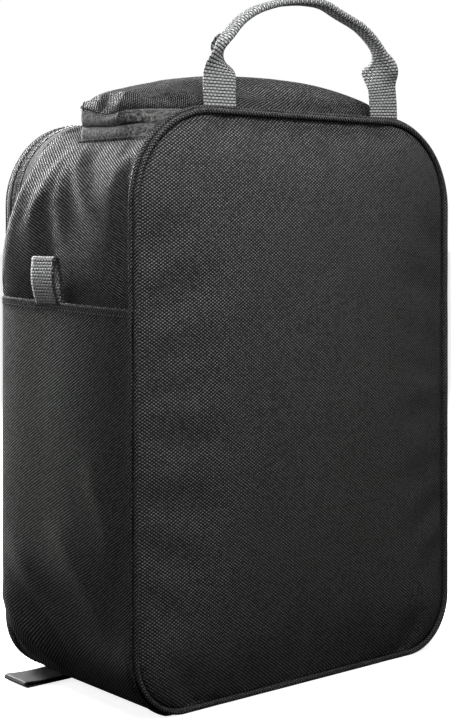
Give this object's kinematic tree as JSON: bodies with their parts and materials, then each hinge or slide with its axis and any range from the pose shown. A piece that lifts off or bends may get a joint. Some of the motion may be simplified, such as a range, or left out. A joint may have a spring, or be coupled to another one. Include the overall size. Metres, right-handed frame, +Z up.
{
  "type": "shoe bag",
  "caption": "Soft two-compartment shoe bag with a fold-down zipped front door, a zipped hood, side slip pockets, a folded webbing handle and webbing loops.",
  "frame": {"origin": "centre of the flat bottom that the bag stands on", "axes": "+Z up, +Y out of the back panel, -Y out of the front door, X across the bag's width with the right side at +X when seen from the front"},
  "size_m": [0.2864, 0.143, 0.4318],
  "materials": {
    "panel_fabric": "matt, coarse canvas weave",
    "gusset_twill": "matt, diagonal twill weave",
    "piping": "matt, bias-cut cover over a cord",
    "foam": "open-cell foam under the fabric",
    "lining": "smooth plain-weave lining",
    "board": "stiff sheet",
    "zip_tape": "fine herringbone tape",
    "zip_coil": "nylon coil, satin",
    "webbing_grey": "ribbed woven webbing",
    "webbing_black": "ribbed woven webbing",
    "slider_metal": "black enamel, satin",
    "pull_plastic": "moulded, satin"
  },
  "bodies": {
    "body": {"back_panel": "panel_fabric", "back_foam": "foam", "back_lining": "lining", "back_piping": "piping", "side_gusset_left": "gusset_twill", "side_gusset_right": "gusset_twill", "bottom_gusset": "gusset_twill", "front_top_strip": "gusset_twill", "back_top_strip": "gusset_twill", "gusset_lining": "lining", "base_board": "board", "divider_panel": "lining", "side_pocket_left": "gusset_twill", "side_pocket_right": "gusset_twill", "hood_lower_tape": "zip_tape", "hood_lower_coil": "zip_coil", "body_zip_tape": "zip_tape", "body_zip_coil": "zip_coil"},
    "hood": {"hood_shell": "gusset_twill", "hood_foam": "foam", "hood_lining": "lining", "hood_upper_tape": "zip_tape", "hood_upper_coil": "zip_coil"},
    "door": {"door_panel": "panel_fabric", "door_foam": "foam", "door_lining": "lining", "door_rim": "gusset_twill", "door_piping": "piping", "door_zip_tape": "zip_tape", "door_zip_coil": "zip_coil"},
    "handle": {"carry_handle": "webbing_grey"},
    "loop_left": {"side_loop_left": "webbing_grey"},
    "loop_right": {"side_loop_right": "webbing_grey"},
    "tab_left": {"zip_end_tab_left": "webbing_black"},
    "tab_right": {"zip_end_tab_right": "webbing_black"},
    "hood_slider_left": {"hood_slider_left": "slider_metal"},
    "hood_slider_right": {"hood_slider_right": "slider_metal"},
    "hood_pull_left": {"hood_pull_left": "pull_plastic"},
    "hood_pull_right": {"hood_pull_right": "pull_plastic"},
    "door_slider_left": {"door_slider_left": "slider_metal"},
    "door_slider_right": {"door_slider_right": "slider_metal"},
    "door_pull_left": {"door_pull_left": "pull_plastic"},
    "door_pull_right": {"door_pull_right": "pull_plastic"}
  },
  "joints": [
    {"name": "door_hinge", "type": "hinge", "parent": "body", "child": "door", "pos_m": [0, -0.0712, 0.0006], "axis": [1, 0, 0], "range_deg": [0, 90]},
    {"name": "hood_hinge", "type": "hinge", "parent": "body", "child": "hood", "pos_m": [0, 0.0605, 0.3605], "axis": [-1, 0, 0], "range_deg": [0, 55]},
    {"name": "handle_swing", "type": "hinge", "parent": "body", "child": "handle", "pos_m": [0, 0.066, 0.3615], "axis": [-1, 0, 0], "range_deg": [-40, 90]},
    {"name": "loop_left_swing", "type": "hinge", "parent": "body", "child": "loop_left", "pos_m": [-0.1358, -0.004, 0.24], "axis": [0, -1, 0], "range_deg": [0, 70]},
    {"name": "loop_right_swing", "type": "hinge", "parent": "body", "child": "loop_right", "pos_m": [0.1358, -0.004, 0.24], "axis": [0, 1, 0], "range_deg": [0, 70]},
    {"name": "tab_left_swing", "type": "hinge", "parent": "body", "child": "tab_left", "pos_m": [-0.1095, -0.04405, 0.0012], "axis": [0, -1, 0], "range_deg": [-12, 60]},
    {"name": "tab_right_swing", "type": "hinge", "parent": "body", "child": "tab_right", "pos_m": [0.1095, -0.04405, 0.0012], "axis": [0, 1, 0], "range_deg": [-12, 60]},
    {"name": "hood_slider_left_slide", "type": "slide", "parent": "body", "child": "hood_slider_left", "axis": [-1, 0, 0], "range_m": [-0.006, 0.085]},
    {"name": "hood_slider_right_slide", "type": "slide", "parent": "body", "child": "hood_slider_right", "axis": [1, 0, 0], "range_m": [-0.006, 0.085]},
    {"name": "hood_pull_left_swing", "type": "hinge", "parent": "hood_slider_left", "child": "hood_pull_left", "pos_m": [-0.014, -0.0114, 0.35], "axis": [-1, 0, 0], "range_deg": [0, 60]},
    {"name": "hood_pull_right_swing", "type": "hinge", "parent": "hood_slider_right", "child": "hood_pull_right", "pos_m": [0.014, -0.0114, 0.35], "axis": [-1, 0, 0], "range_deg": [0, 60]},
    {"name": "door_slider_left_slide", "type": "slide", "parent": "body", "child": "door_slider_left", "axis": [-1, 0, 0], "range_m": [-0.006, 0.056]},
    {"name": "door_slider_right_slide", "type": "slide", "parent": "body", "child": "door_slider_right", "axis": [1, 0, 0], "range_m": [-0.006, 0.056]},
    {"name": "door_pull_left_swing", "type": "hinge", "parent": "door_slider_left", "child": "door_pull_left", "pos_m": [-0.014, -0.05605, 0.3599], "axis": [1, 0, 0], "range_deg": [0, 120]},
    {"name": "door_pull_right_swing", "type": "hinge", "parent": "door_slider_right", "child": "door_pull_right", "pos_m": [0.014, -0.05605, 0.3599], "axis": [1, 0, 0], "range_deg": [0, 120]}
  ]
}
